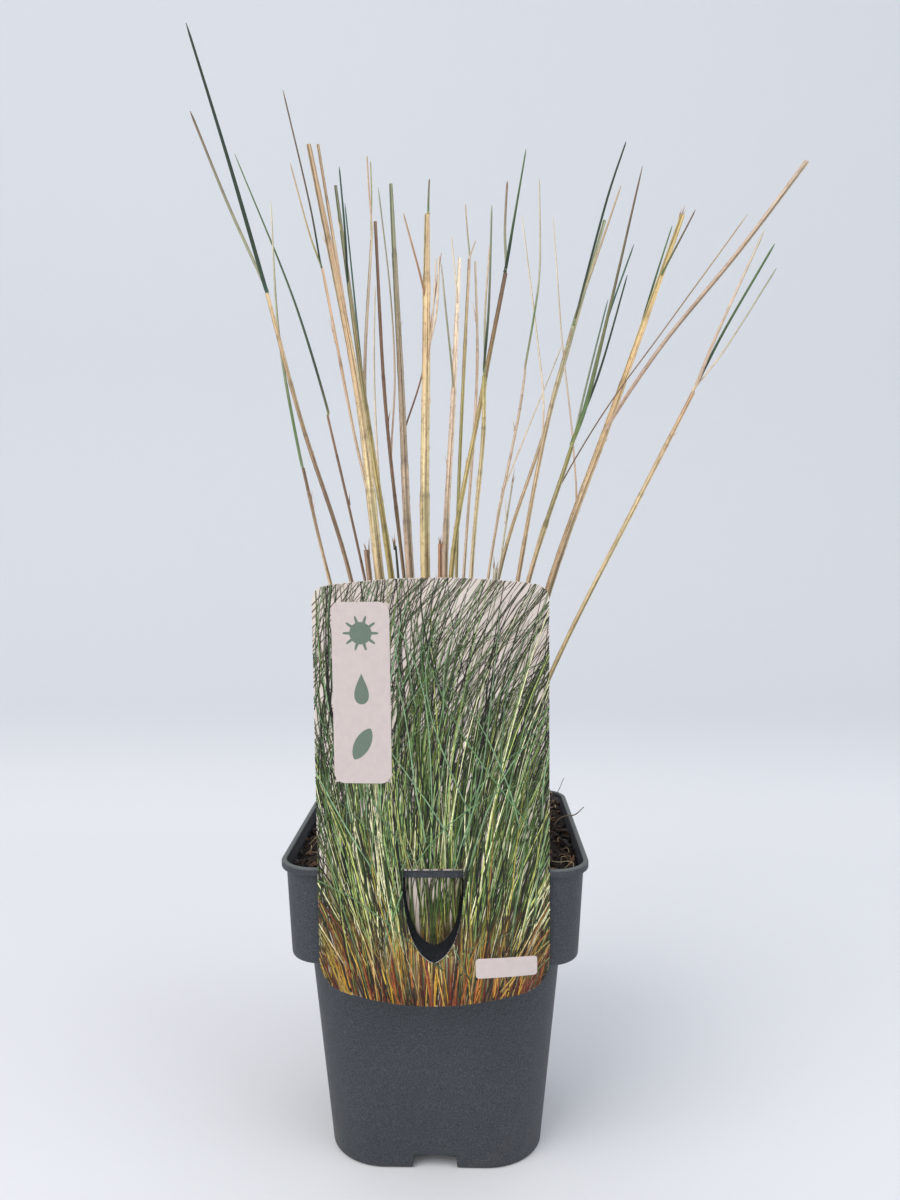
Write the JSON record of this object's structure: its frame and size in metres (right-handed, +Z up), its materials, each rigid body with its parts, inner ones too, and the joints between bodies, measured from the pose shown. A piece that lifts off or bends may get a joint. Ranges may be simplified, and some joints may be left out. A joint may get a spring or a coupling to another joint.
{
  "type": "potted european beachgrass",
  "caption": "Square nursery pot of compost with a tuft of upright beachgrass stems and blades and a plant label hung on the front rim.",
  "frame": {"origin": "middle of the pot's flat underside, on the ground", "axes": "+Z up along the plant, -Y towards the label on the front rim, +X to the right seen from the front"},
  "size_m": [0.2856, 0.2169, 0.5422],
  "materials": {
    "pot": "dark slate grey moulded plastic with a fine sandy grain",
    "compost": "damp dark peat and bark with pale root fibres",
    "label": null,
    "straw_stem": "dry straw sheath, streaked along its length",
    "green_blade": "rolled grass blade, satin grey green, dry at the tip"
  },
  "bodies": {
    "root": {"pot": "pot", "label": "label", "short_shoot_1": "straw_stem", "short_shoot_2": "straw_stem", "short_shoot_3": "straw_stem", "short_shoot_4": "straw_stem", "short_shoot_5": "straw_stem", "tiller_01": "straw_stem", "tiller_01_blades": "green_blade", "tiller_02": "straw_stem", "tiller_02_blades": "green_blade", "tiller_03": "straw_stem", "tiller_03_blades": "green_blade", "tiller_04": "straw_stem", "tiller_04_blades": "green_blade", "tiller_05": "straw_stem", "tiller_06": "straw_stem", "tiller_07": "straw_stem", "tiller_08": "straw_stem", "tiller_09": "straw_stem", "tiller_10": "straw_stem", "tiller_11": "straw_stem", "tiller_11_blades": "green_blade", "tiller_12": "straw_stem", "tiller_13": "straw_stem", "tiller_14": "straw_stem", "tiller_15": "straw_stem", "tiller_15_blades": "green_blade", "tiller_16": "straw_stem", "tiller_16_blades": "green_blade", "tiller_17": "straw_stem", "tiller_17_blades": "green_blade", "tiller_18": "straw_stem", "tiller_18_blades": "green_blade", "tiller_19": "straw_stem", "tiller_20": "straw_stem", "tiller_20_blades": "green_blade", "tiller_21": "straw_stem", "tiller_22": "straw_stem", "tiller_22_blades": "green_blade", "compost": "compost"}
  },
  "joints": []
}
